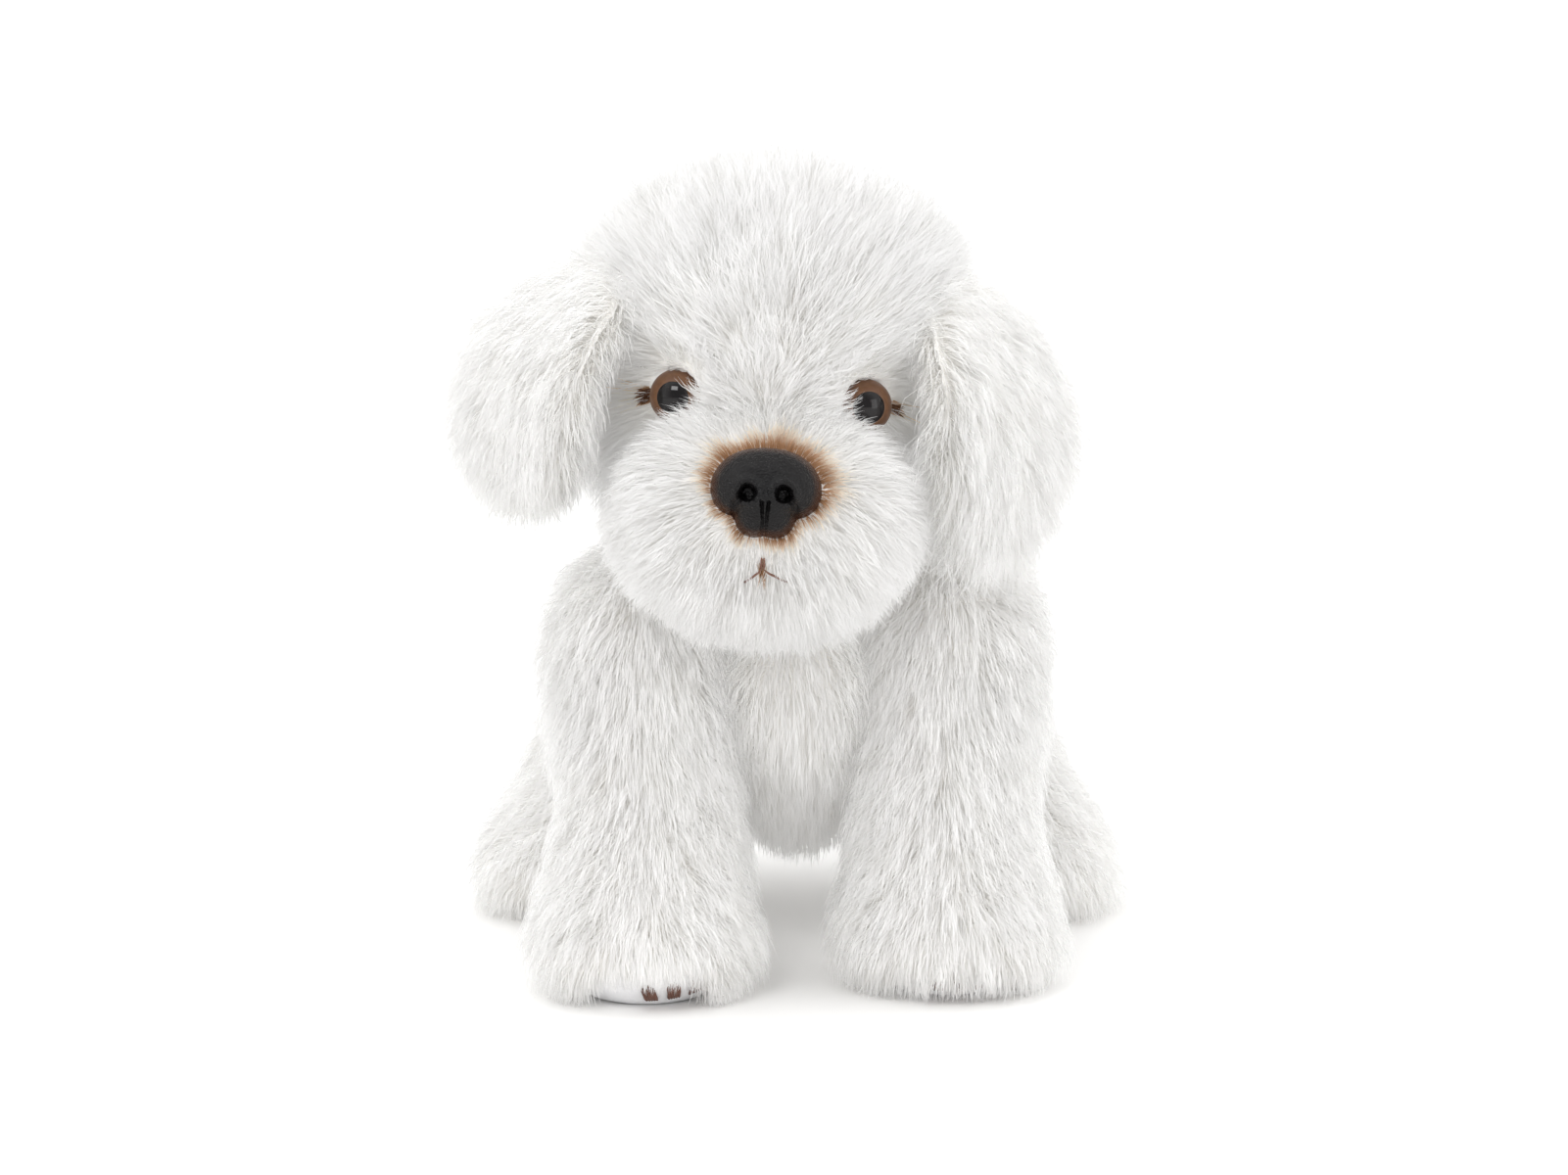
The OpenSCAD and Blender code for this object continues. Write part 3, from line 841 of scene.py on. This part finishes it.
def strand_mesh(name, lines, widths, sides, normals, tone, tip_tone):
    """Flat tapered strands as one object, with UVs and soft normals. lines is (strands, 4 points, 3)."""
    count = len(lines)
    taper = np.array([0.85, 1.0, 0.72])
    half = sides[:, None, :] * (widths[:, None] * taper[None, :] / 2)[:, :, None]
    left, right = lines[:, :3] - half, lines[:, :3] + half
    verts = np.concatenate(
        [np.stack([left, right], axis=2).reshape(count, 6, 3), lines[:, 3:4]], axis=1
    ).reshape(-1, 3)
    pattern = np.array([0, 1, 3, 2, 2, 3, 5, 4, 4, 5, 6])
    index = (np.arange(count)[:, None] * 7 + pattern[None, :]).ravel()
    starts = (np.arange(count)[:, None] * 11 + np.array([0, 4, 8])[None, :]).ravel()
    mesh = bpy.data.meshes.new(name)
    mesh.vertices.add(count * 7)
    mesh.vertices.foreach_set("co", verts.ravel())
    mesh.loops.add(count * 11)
    mesh.loops.foreach_set("vertex_index", index.astype(np.int32))
    mesh.polygons.add(count * 3)
    mesh.polygons.foreach_set("loop_start", starts.astype(np.int32))
    mesh.update(calc_edges=True)
    mesh.shade_smooth()
    layer = mesh.uv_layers.new(name="OFBake")
    along = np.array([0, 0, 0.35, 0.35, 0.7, 0.7, 1.0])[pattern]
    tones = tone[:, None] * (1 - along**2) + tip_tone[:, None] * along**2
    uv = np.stack([tones.ravel(), np.tile(along, count)], axis=1)
    layer.data.foreach_set("uv", uv.ravel())
    mesh.normals_split_custom_set_from_vertices(np.repeat(normals, 7, axis=0))
    obj = link(bpy.data.objects.new(name, mesh))
    paint(obj, PILE)
    return obj


def grow(part, style, density, seed, keep=None):
    """Grows the pile of one part and ties it to the part's body.
    style(points, normals) gives flow, length, lift, droop, stain and width for each root."""
    rng = np.random.default_rng(SEED + seed)
    points, normals = roots_on(SKINS[part], density, rng)
    if keep is not None:
        chosen = keep(points)
        points, normals = points[chosen], normals[chosen]
    chosen = open_roots(part, points, normals)
    points, normals = points[chosen], normals[chosen]
    count = len(points)
    look = style(points, normals)
    flow = look["flow"]
    flow = unit(flow - normals * (flow * normals).sum(1, keepdims=True))

    tuft, tuft_centre = clumps(points, TUFT_SIZE, rng)
    wisp, wisp_centre = clumps(points, WISP_SIZE, rng)
    turn = rng.normal(0, 0.16, tuft.max() + 1)[tuft] + rng.normal(0, 0.12, wisp.max() + 1)[wisp]
    turn += rng.normal(0, 0.2, count)
    across = np.cross(normals, flow)
    flow = unit(flow * np.cos(turn)[:, None] + across * np.sin(turn)[:, None])
    lift = look["lift"] + rng.normal(0, 0.04, tuft.max() + 1)[tuft] + rng.normal(0, 0.06, count)
    lift = np.clip(lift, 0.08, 0.97)[:, None]
    start_way = unit(normals * lift + flow * (1 - lift))
    end_way = unit(normals * lift * 0.45 + flow * (1.2 - lift) + DOWN * look["droop"][:, None])
    length = look["length"] * (0.66 + 0.46 * rng.random(count))
    length *= 1 + rng.normal(0, 0.05, tuft.max() + 1)[tuft]
    length = free_length(part, points + normals * 0.3 * MM, unit(start_way + end_way), length)

    share = np.array([0.0, 0.35, 0.7, 1.0])
    bend = (share**2 * 0.62)[None, :, None]
    lines = (
        (points - normals * 0.5 * MM)[:, None, :]
        + start_way[:, None, :] * (length[:, None] * share[None, :])[:, :, None] * (1 - bend)
        + end_way[:, None, :] * (length[:, None] * share[None, :])[:, :, None] * bend
    )
    pull = (share**1.7)[None, :, None]
    lines += (wisp_centre[wisp] - points)[:, None, :] * pull * WISP_PULL
    lines += (tuft_centre[tuft] - points)[:, None, :] * pull * TUFT_PULL
    lines[:, :, 2] = np.maximum(lines[:, :, 2], 0.3 * MM)

    run = unit(lines[:, 3] - lines[:, 0])
    side = unit(np.cross(run, normals) + 1e-6)
    other = np.cross(run, side)
    spin = rng.uniform(-1.15, 1.15, count)[:, None]
    side = unit(side * np.cos(spin) + other * np.sin(spin))
    facing = (np.cross(side, run) * normals).sum(1)
    side[facing < 0] *= -1
    width = look["width"] * (0.75 + 0.5 * rng.random(count))
    tone = np.clip(rng.normal(0.36, 0.1, count) + rng.normal(0, 0.06, tuft.max() + 1)[tuft], 0.02, 0.57)
    stain = look["stain"]
    dyed = stain > 0.02
    tip_tone = np.where(dyed, STAIN_START + 0.4 * np.clip(stain * look["fade"], 0, 1), tone)
    tone = np.where(dyed, STAIN_START + 0.4 * np.clip(stain, 0, 1), tone)
    soft = unit(normals + 0.08 * rng.normal(0, 1, (count, 3)) + 0.2 * run)

    order = np.argsort(points[:, 0] if part in ("head", "torso", "muzzle") else points[:, 2], kind="stable")
    parts = max(1, math.ceil(count / MAX_STRANDS))
    for k, chunk in enumerate(np.array_split(order, parts)):
        name = f"pile_{part}_{k + 1}"
        shape = (lines[chunk], width[chunk], side[chunk], soft[chunk])
        obj = strand_mesh(name, *shape, tone[chunk], tip_tone[chunk])
        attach(obj, BODY_OF[part])


def style_of(points, flow, length, lift, droop=0.2, stain=0.0, width=STRAND_WIDTH, fade=0.9):
    """Fills a look with one value for each point. Lengths and widths come in mm."""
    count = len(points)
    return {
        "flow": flow,
        "length": np.broadcast_to(length, (count,)) * MM,
        "lift": np.broadcast_to(lift, (count,)),
        "droop": np.broadcast_to(droop, (count,)),
        "stain": np.broadcast_to(stain, (count,)),
        "width": np.broadcast_to(width, (count,)) * MM,
        "fade": np.broadcast_to(fade, (count,)),
    }


def far(points, place):
    """Distance from a place, in mm."""
    return np.linalg.norm(points - place, axis=1) / MM


EYES = {}  # each side's local frame, filled in when the eyes are made
NOSE_PLACE = [None, None]
BEHIND_EYE = -12  # mm along an eye's axis, beyond which a root is on the back of the head


def eye_gap_length(points, length):
    """Pile is shorter where it meets an eye's rim."""
    for _, origin in EYES.values():
        length = length * (0.25 + 0.75 * ramp(far(points, origin), 6.0, 11.0))
    return length


def away_from_face(points):
    """Flags the roots that aren't under an eye's dome or under the nose."""
    keep = np.ones(len(points), bool)
    for rotation, origin in EYES.values():
        local = (points - origin) @ rotation
        keep &= (np.hypot(local[:, 0], local[:, 1]) > 6.1 * MM) | (local[:, 2] < -12 * MM)
    rotation, origin = NOSE_PLACE
    local = (points - origin) @ rotation
    edge = nose_radius(np.arctan2(local[:, 1], local[:, 0])) * MM
    keep &= (np.hypot(local[:, 0], local[:, 1]) > edge * 0.93) | (local[:, 2] < -9 * MM)
    return keep


# lengths of pile in mm
HEAD_PILE = 12.8
CHEEK_EXTRA = 6.5
TEMPLE_EXTRA = 4.2
CROWN_EXTRA = 2.7
BROW_PILE = 7.5
DAB_PILE = 3.4
NOSE_EDGE_PILE = 4.2
MUZZLE_EXTRA = 8.6
EAR_PILE = 11.5
LINING_PILE = 9.0
LEG_PILE = 12.5
PAW_EXTRA = 1.5
SHOULDER_EXTRA = 3.0
HAUNCH_EXTRA = 3.0
TORSO_PILE = 12.0
NECK_PILE = 9.0
TAIL_PILE = 11.0


def head_style(points, normals):
    """Swept up and back from the bridge of the nose, and down over the cheeks."""
    left, right = EYES["left"][1], EYES["right"][1]
    bridge = (left + right) / 2 + np.array([0, 0, -8 * MM])
    away = unit(points - bridge)
    side = np.abs(points[:, 0] - bridge[0]) / MM
    height = points[:, 2] / MM
    level = bridge[2] / MM
    low = ramp(height, level + 22, level - 12)
    behind = ramp(points[:, 1] / MM, -20, 15)
    cheek = ramp(side, 16, 28) * ramp(height, level + 12, level) * (1 - behind)
    flow = away + DOWN * (0.9 * low * ramp(side, 12, 30) + 1.1 * behind)[:, None]
    flow = flow + np.outer(cheek * 0.9, [0, -1, 0])
    brow = np.zeros(len(points))
    for side_name, (rotation, origin) in EYES.items():
        way = 1 if side_name == "left" else -1
        local = (points - origin) @ rotation / MM
        reach = np.hypot(local[:, 0], local[:, 1])
        inward = (-0.8 * way * local[:, 0] - local[:, 1]) / reach
        inner = ramp(inward, 0.1, 0.8) * (1 - ramp(reach, 9, 14))
        inner = inner * (local[:, 2] > BEHIND_EYE)
        brow = np.maximum(brow, inner)
        near = (1 - inner) * (1 - ramp(far(points, origin), 7, 13))
        flow = flow + unit(points - origin) * (near * 2.0)[:, None]
    temple = ramp(side, 14, 30) * ramp(height, level + 12, level + 26)
    crown = ramp(height, level + 18, level + 34)
    length = HEAD_PILE + 0.5 * low + CHEEK_EXTRA * cheek + TEMPLE_EXTRA * temple + CROWN_EXTRA * crown
    length = eye_gap_length(points, length) * (1 - brow) + BROW_PILE * brow
    lift = 0.68 + 0.14 * cheek + 0.06 * crown
    for _, origin in EYES.values():
        lift = lift * (0.6 + 0.4 * np.maximum(ramp(far(points, origin), 6, 10), brow))
    stain = np.zeros(len(points))
    for side_name, (rotation, origin) in EYES.items():
        way, size = (1, 0.75) if side_name == "left" else (-1, 1.0)
        local = (points - origin) @ rotation / MM
        spot = np.hypot((local[:, 0] - way * 7.2) / (1.5 * size), (local[:, 1] + 0.3) / (1.7 * size))
        dye = 0.95 * (1 - ramp(spot, 0.75, 1.2))
        stain = np.maximum(stain, dye * (local[:, 2] > BEHIND_EYE))
    dab = stain > 0.3
    length = np.where(dab, DAB_PILE, length)
    lift = np.where(dab, 0.97, lift)
    width = np.where(dab, 0.55, STRAND_WIDTH)
    return style_of(points, flow, length, lift, 0.12, stain, width)


def muzzle_style(points, normals):
    """Fans out all round from the nose, and is dyed tan beside it."""
    rotation, origin = NOSE_PLACE
    away = unit(points - origin)
    distance = far(points, origin)
    local = (points - origin) @ rotation / MM
    flow = away + DOWN * 0.15
    length = NOSE_EDGE_PILE + MUZZLE_EXTRA * ramp(distance, 9.5, 20)
    top = ramp(local[:, 1], 2, 12)
    lift = 0.68 + 0.08 * top
    angle = np.arctan2(local[:, 1], local[:, 0])
    beyond = np.hypot(local[:, 0], local[:, 1]) - nose_radius(angle)
    wobble = 0.8 * np.sin(angle * 5 + 1) + 0.6 * np.sin(angle * 11)
    reach = 1.7 + 0.5 * wobble + 0.4 * np.sin(angle) + 0.5 * np.cos(angle)
    stain = 0.70 * (1 - ramp(beyond, -1.0, reach))
    mouth = np.hypot(local[:, 0] / 1.3, (local[:, 1] + 14.5) / 2.6)
    stain = np.maximum(stain, 0.95 * (1 - ramp(mouth, 0.45, 0.8)))
    length = length * (0.62 + 0.38 * ramp(mouth, 0.6, 1.6))
    return style_of(points, flow, length, lift, 0.12, stain, fade=0.35)


def ear_style(side):
    """Hangs down the flap and fans out at its edges."""
    way = 1 if side == "left" else -1
    lo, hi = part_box("ear_outer_" + side)
    centre = np.array((lo + hi) / 2)

    def style(points, normals):
        down = ramp(points[:, 2], hi.z - 4 * MM, lo.z + 16 * MM)
        out = unit((points - centre) * np.array([1, 1, 0]))
        inner = ramp(-way * (points[:, 0] - centre[0]) / MM, 2, 14) * down
        flow = DOWN * (0.55 + 0.45 * down)[:, None] + out * (0.45 * down + 0.5 * inner)[:, None]
        flow = flow + np.outer(0.15 + 0.35 * (1 - down), [way, 0, 0])
        low = ramp(points[:, 2], lo.z + 16 * MM, lo.z)
        wide = 4.8 if side == "left" else 2.6
        length = EAR_PILE + 3.5 * inner + wide * (1 - inner) * down - 3.5 * low * (side == "right")
        return style_of(points, flow, length, 0.62 + 0.05 * inner, 0.2)

    return style


def lining_style(points, normals):
    """Falls down the ear's inner side, a little forwards."""
    forward = np.array([0, -0.5, 0])
    return style_of(points, np.tile(DOWN + forward, (len(points), 1)), LINING_PILE, 0.6, 0.2)


def leg_style(leg, side):
    """Parts at a front seam and falls to the paw, where it flares over the toes."""
    sole_lo, sole_hi = (np.array(c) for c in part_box(f"{leg}_sole_{side}"))
    paw = (sole_lo + sole_hi) / 2

    def style(points, normals):
        height = points[:, 2] / MM
        paw_share = 1 - ramp(height, 10, 30)
        out = unit((points - paw) * np.array([1, 1, 0]))
        seam = np.tanh((points[:, 0] - paw[0]) / (8 * MM))
        steady = np.ones(len(points))
        part_way = np.column_stack([seam * 0.4, -0.1 * steady, -1.0 * steady])
        flow = part_way * (1 - paw_share)[:, None] + (out * 0.9 + DOWN * 0.75) * paw_share[:, None]
        line = sole_line(leg, side, points) / MM
        fringe = 1 - ramp(height - line, 1, 10)
        across = np.abs(points[:, 0] - paw[0]) / MM
        front = ramp(-(points[:, 1] - paw[1]) / MM, 2, 12)
        bare = front * (1 - ramp(across, 9, 15)) * (1 - ramp(height - line, 2, 11))
        bare = bare * (0.8 if (leg, side) == ("front", "right") else 0.35)
        outer = np.sign(paw[0]) * (points[:, 0] - paw[0]) / MM
        shoulder = ramp(height, 45, 70) * ramp(outer, -2, 12)
        haunch = HAUNCH_EXTRA * (leg == "hind") * ramp(outer, -8, 8)
        length = LEG_PILE + PAW_EXTRA * paw_share + SHOULDER_EXTRA * shoulder + haunch
        lift = 0.68 - 0.2 * fringe + 0.1 * shoulder
        return style_of(points, flow, length * (1 - 0.85 * bare), lift * (1 - 0.4 * bare), 0.3)

    return style


def above_sole(leg, side):
    """Says which roots are above a leg's sole line."""

    def keep(points):
        return points[:, 2] > sole_line(leg, side, points) + 0.4 * MM

    return keep


def torso_style(points, normals):
    """Lies back along the body, and down over its sides and chest."""
    lo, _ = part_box("torso_skin")
    front = 1 - ramp(points[:, 1], lo.y + 10 * MM, lo.y + 40 * MM)
    side = np.sign(points[:, 0]) * ramp(np.abs(points[:, 0]) / MM, 0, 12)
    flow = np.column_stack([side * 0.4, 0.9 - 1.2 * front, -0.6 - 0.5 * front])
    return style_of(points, flow, TORSO_PILE, 0.66, 0.35)


def neck_style(points, normals):
    """Stands out all round, with a slight fall."""
    lo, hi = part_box("neck_stuffing")
    centre = np.array((lo + hi) / 2)
    flow = (points - centre) * np.array([1, 1, 0]) + DOWN * 0.3 * MM * 10
    return style_of(points, flow, NECK_PILE, 0.8, 0.1)


def tail_style(points, normals):
    """Runs up the tail to its tip."""
    return style_of(points, np.tile([0.0, 0.35, 1.0], (len(points), 1)), TAIL_PILE, 0.66, 0.05)


def grow_all():
    """The pile of every part."""
    scale = 1.0
    grow("head", head_style, 5.0 * scale, 1, away_from_face)
    grow("muzzle", muzzle_style, 6.4 * scale, 2, away_from_face)
    grow("torso", torso_style, 2.8 * scale, 3)
    grow("neck", neck_style, 1.6 * scale, 4)
    grow("tail", tail_style, 3.2 * scale, 5)
    for i, side in enumerate(SIDES):
        grow("ear_" + side, ear_style(side), 5.0 * scale, 10 + i)
        grow("lining_" + side, lining_style, 2.8 * scale, 20 + i)
        for leg, density, seed in (("front", 4.2, 30), ("hind", 3.4, 40)):
            style = leg_style(leg, side)
            grow(f"{leg}_leg_{side}", style, density * scale, seed + i, above_sole(leg, side))


# ---------- stage, light and camera ----------


def make_stage():
    reach = 20.0
    corners = [(-reach, -reach, 0), (reach, -reach, 0), (reach, reach, 0), (-reach, reach, 0)]
    floor = mesh_object("floor", corners, [(0, 1, 2, 3)])
    paint(floor, floor_material())


def area_light(name, place, aim, size, power, colour=(1, 1, 1)):
    light = bpy.data.lights.new(name, "AREA")
    light.shape = "RECTANGLE"
    light.size, light.size_y = size
    light.energy = power
    light.color = colour
    obj = link(bpy.data.objects.new(name, light))
    obj.location = place
    obj.rotation_euler = (Vector(aim) - Vector(place)).to_track_quat("-Z", "Y").to_euler()


def make_world():
    """White behind and above, and dimmer towards the camera, like the open side of a studio."""
    world = bpy.data.worlds.new("studio")
    bpy.context.scene.world = world
    world.use_nodes = True
    tree = world.node_tree
    where = tree.nodes.new("ShaderNodeTexCoord")
    toward = tree.nodes.new("ShaderNodeVectorMath")
    toward.operation = "DOT_PRODUCT"
    toward.inputs[1].default_value = (0.0, -0.97, 0.24)
    tree.links.new(where.outputs["Generated"], toward.inputs[0])
    share = tree.nodes.new("ShaderNodeMapRange")
    share.inputs["From Min"].default_value = 0.6
    share.inputs["From Max"].default_value = 0.9
    tree.links.new(toward.outputs["Value"], share.inputs["Value"])
    shade = add_ramp(tree, share.outputs["Result"], [(0.0, (1.0, 1.0, 1.0)), (1.0, (0.38, 0.38, 0.39))])
    background = tree.nodes["Background"]
    tree.links.new(shade, background.inputs["Color"])
    background.inputs["Strength"].default_value = 1.42


def make_lights():
    make_world()
    aim = (0, 0, 0.1)
    area_light("top_softbox", (0.0, -0.35, 1.4), aim, (1.2, 1.0), 0.8, (0.97, 0.985, 1.0))
    area_light("window_softbox", (-0.3, -1.0, 0.85), aim, (0.5, 0.32), 4.4)
    area_light("fill_softbox", (0.9, -1.0, 0.35), aim, (0.5, 0.8), 2.0)


CAMERA_LENS = 104
CAMERA_ELEVATION = math.radians(9.5)
CAMERA_DISTANCE = 1.0
CAMERA_AIM = Vector((-0.0018, -0.055, 0.0935))


def make_camera():
    camera = bpy.data.cameras.new("camera")
    obj = link(bpy.data.objects.new("camera", camera))
    camera.sensor_width = 36
    camera.lens = CAMERA_LENS
    camera.clip_end = 20
    back = Vector((0, -math.cos(CAMERA_ELEVATION), math.sin(CAMERA_ELEVATION)))
    obj.location = CAMERA_AIM + CAMERA_DISTANCE * back
    obj.rotation_euler = (CAMERA_AIM - obj.location).to_track_quat("-Z", "Y").to_euler()
    bpy.context.scene.camera = obj
    bpy.context.scene.view_settings.view_transform = "Standard"


# ---------- build ----------

make_skins()
make_trees()
bind_skins()
paint_inner_nodes()
for one_side in SIDES:
    EYES[one_side] = make_eye(one_side)
    make_claws(one_side)
    for one_leg in ("front", "hind"):
        make_sole(one_leg, one_side)
NOSE_PLACE[:] = make_nose()
make_mouth(NOSE_PLACE)
make_belly_seam()
grow_all()
make_stage()
make_lights()
make_camera()
